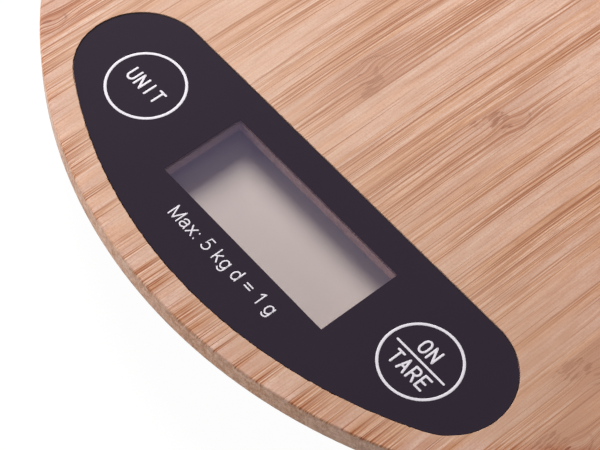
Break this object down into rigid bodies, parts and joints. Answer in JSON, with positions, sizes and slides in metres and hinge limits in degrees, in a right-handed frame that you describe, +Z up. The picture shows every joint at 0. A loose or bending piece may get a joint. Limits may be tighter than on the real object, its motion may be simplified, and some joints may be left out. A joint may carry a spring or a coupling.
{
  "type": "kitchen scale",
  "caption": "Round digital kitchen scale: thin bamboo weighing disc with an inlaid black key and display panel, on a shallow base tray with feet.",
  "frame": {"origin": "centre of the round platform at the level of the surface the feet stand on", "axes": "+Z up; -Y towards the user, where the control panel is; +X to the user's right"},
  "size_m": [0.2, 0.2, 0.018],
  "materials": {
    "bamboo": "sanded bamboo strips under a thin matt lacquer",
    "black_film": "fine-textured printed film",
    "adhesive": "clear acrylic pressure-sensitive tape",
    "smoked_window": "clear part of the film, lightly smoked",
    "display_glass": "thin flat glass",
    "reflector": "satin silver-grey",
    "silicone": "soft matt",
    "black_plastic": "fine moulded texture",
    "charcoal_plastic": "fine spark-eroded texture",
    "resin": "cast resin",
    "board": "green solder mask",
    "tinned_metal": "tinned",
    "zinc_steel": "zinc plated",
    "steel": "nickel-plated can",
    "aluminium": "milled",
    "gauge_foil": "thin foil on film",
    "rubber": "matt moulded",
    "black_wire": "PVC insulation",
    "red_wire": "PVC insulation",
    "white_wire": "PVC insulation"
  },
  "bodies": {
    "base": {"base_tray": "charcoal_plastic", "foot_front_left": "rubber", "foot_front_right": "rubber", "foot_rear_left": "rubber", "foot_rear_right": "rubber", "fixed_end_bolts": "zinc_steel", "load_cell": "aluminium", "strain_gauges": "gauge_foil", "gauge_sealant": "silicone", "coin_cell": "steel", "side_contact": "tinned_metal", "leaf_contact": "tinned_metal", "battery_lead_negative": "black_wire", "battery_lead_positive": "red_wire", "load_cell_leads": "white_wire"},
    "platform": {"bamboo_platform": "bamboo", "control_film": "black_film", "film_adhesive": "adhesive", "display_window": "smoked_window", "front_polarizer": "display_glass", "front_glass": "display_glass", "rear_glass": "display_glass", "display_reflector": "reflector", "zebra_strip": "silicone", "electronics_carrier": "black_plastic", "circuit_board": "board", "processor_blob": "resin", "board_chips": "resin", "board_screws": "zinc_steel", "key_switches": "black_plastic", "switch_terminals": "tinned_metal", "support_plate": "zinc_steel", "plate_screws": "zinc_steel", "cell_spacer": "aluminium", "free_end_bolts": "zinc_steel"},
    "unit_key": {"unit_pad": "black_film", "unit_cap": "black_plastic", "unit_plunger": "black_plastic"},
    "tare_key": {"tare_pad": "black_film", "tare_cap": "black_plastic", "tare_plunger": "black_plastic"},
    "battery_door": {"battery_door": "charcoal_plastic"}
  },
  "joints": [
    {"name": "platform_load", "type": "slide", "parent": "base", "child": "platform", "axis": [0, 0, -1], "range_m": [0, 0.0004], "stiffness_N_per_m": 122500, "deforming": ["load_cell", "battery_lead_negative", "battery_lead_positive", "load_cell_leads"]},
    {"name": "unit_key_press", "type": "slide", "parent": "platform", "child": "unit_key", "axis": [0, 0, -1], "range_m": [0, 0.00025], "stiffness_N_per_m": 6000},
    {"name": "tare_key_press", "type": "slide", "parent": "platform", "child": "tare_key", "axis": [0, 0, -1], "range_m": [0, 0.00025], "stiffness_N_per_m": 6000},
    {"name": "battery_door_twist", "type": "hinge", "parent": "base", "child": "battery_door", "pos_m": [0, 0.052, 0.0016], "axis": [0, 0, -1], "range_deg": [0, 45]}
  ]
}
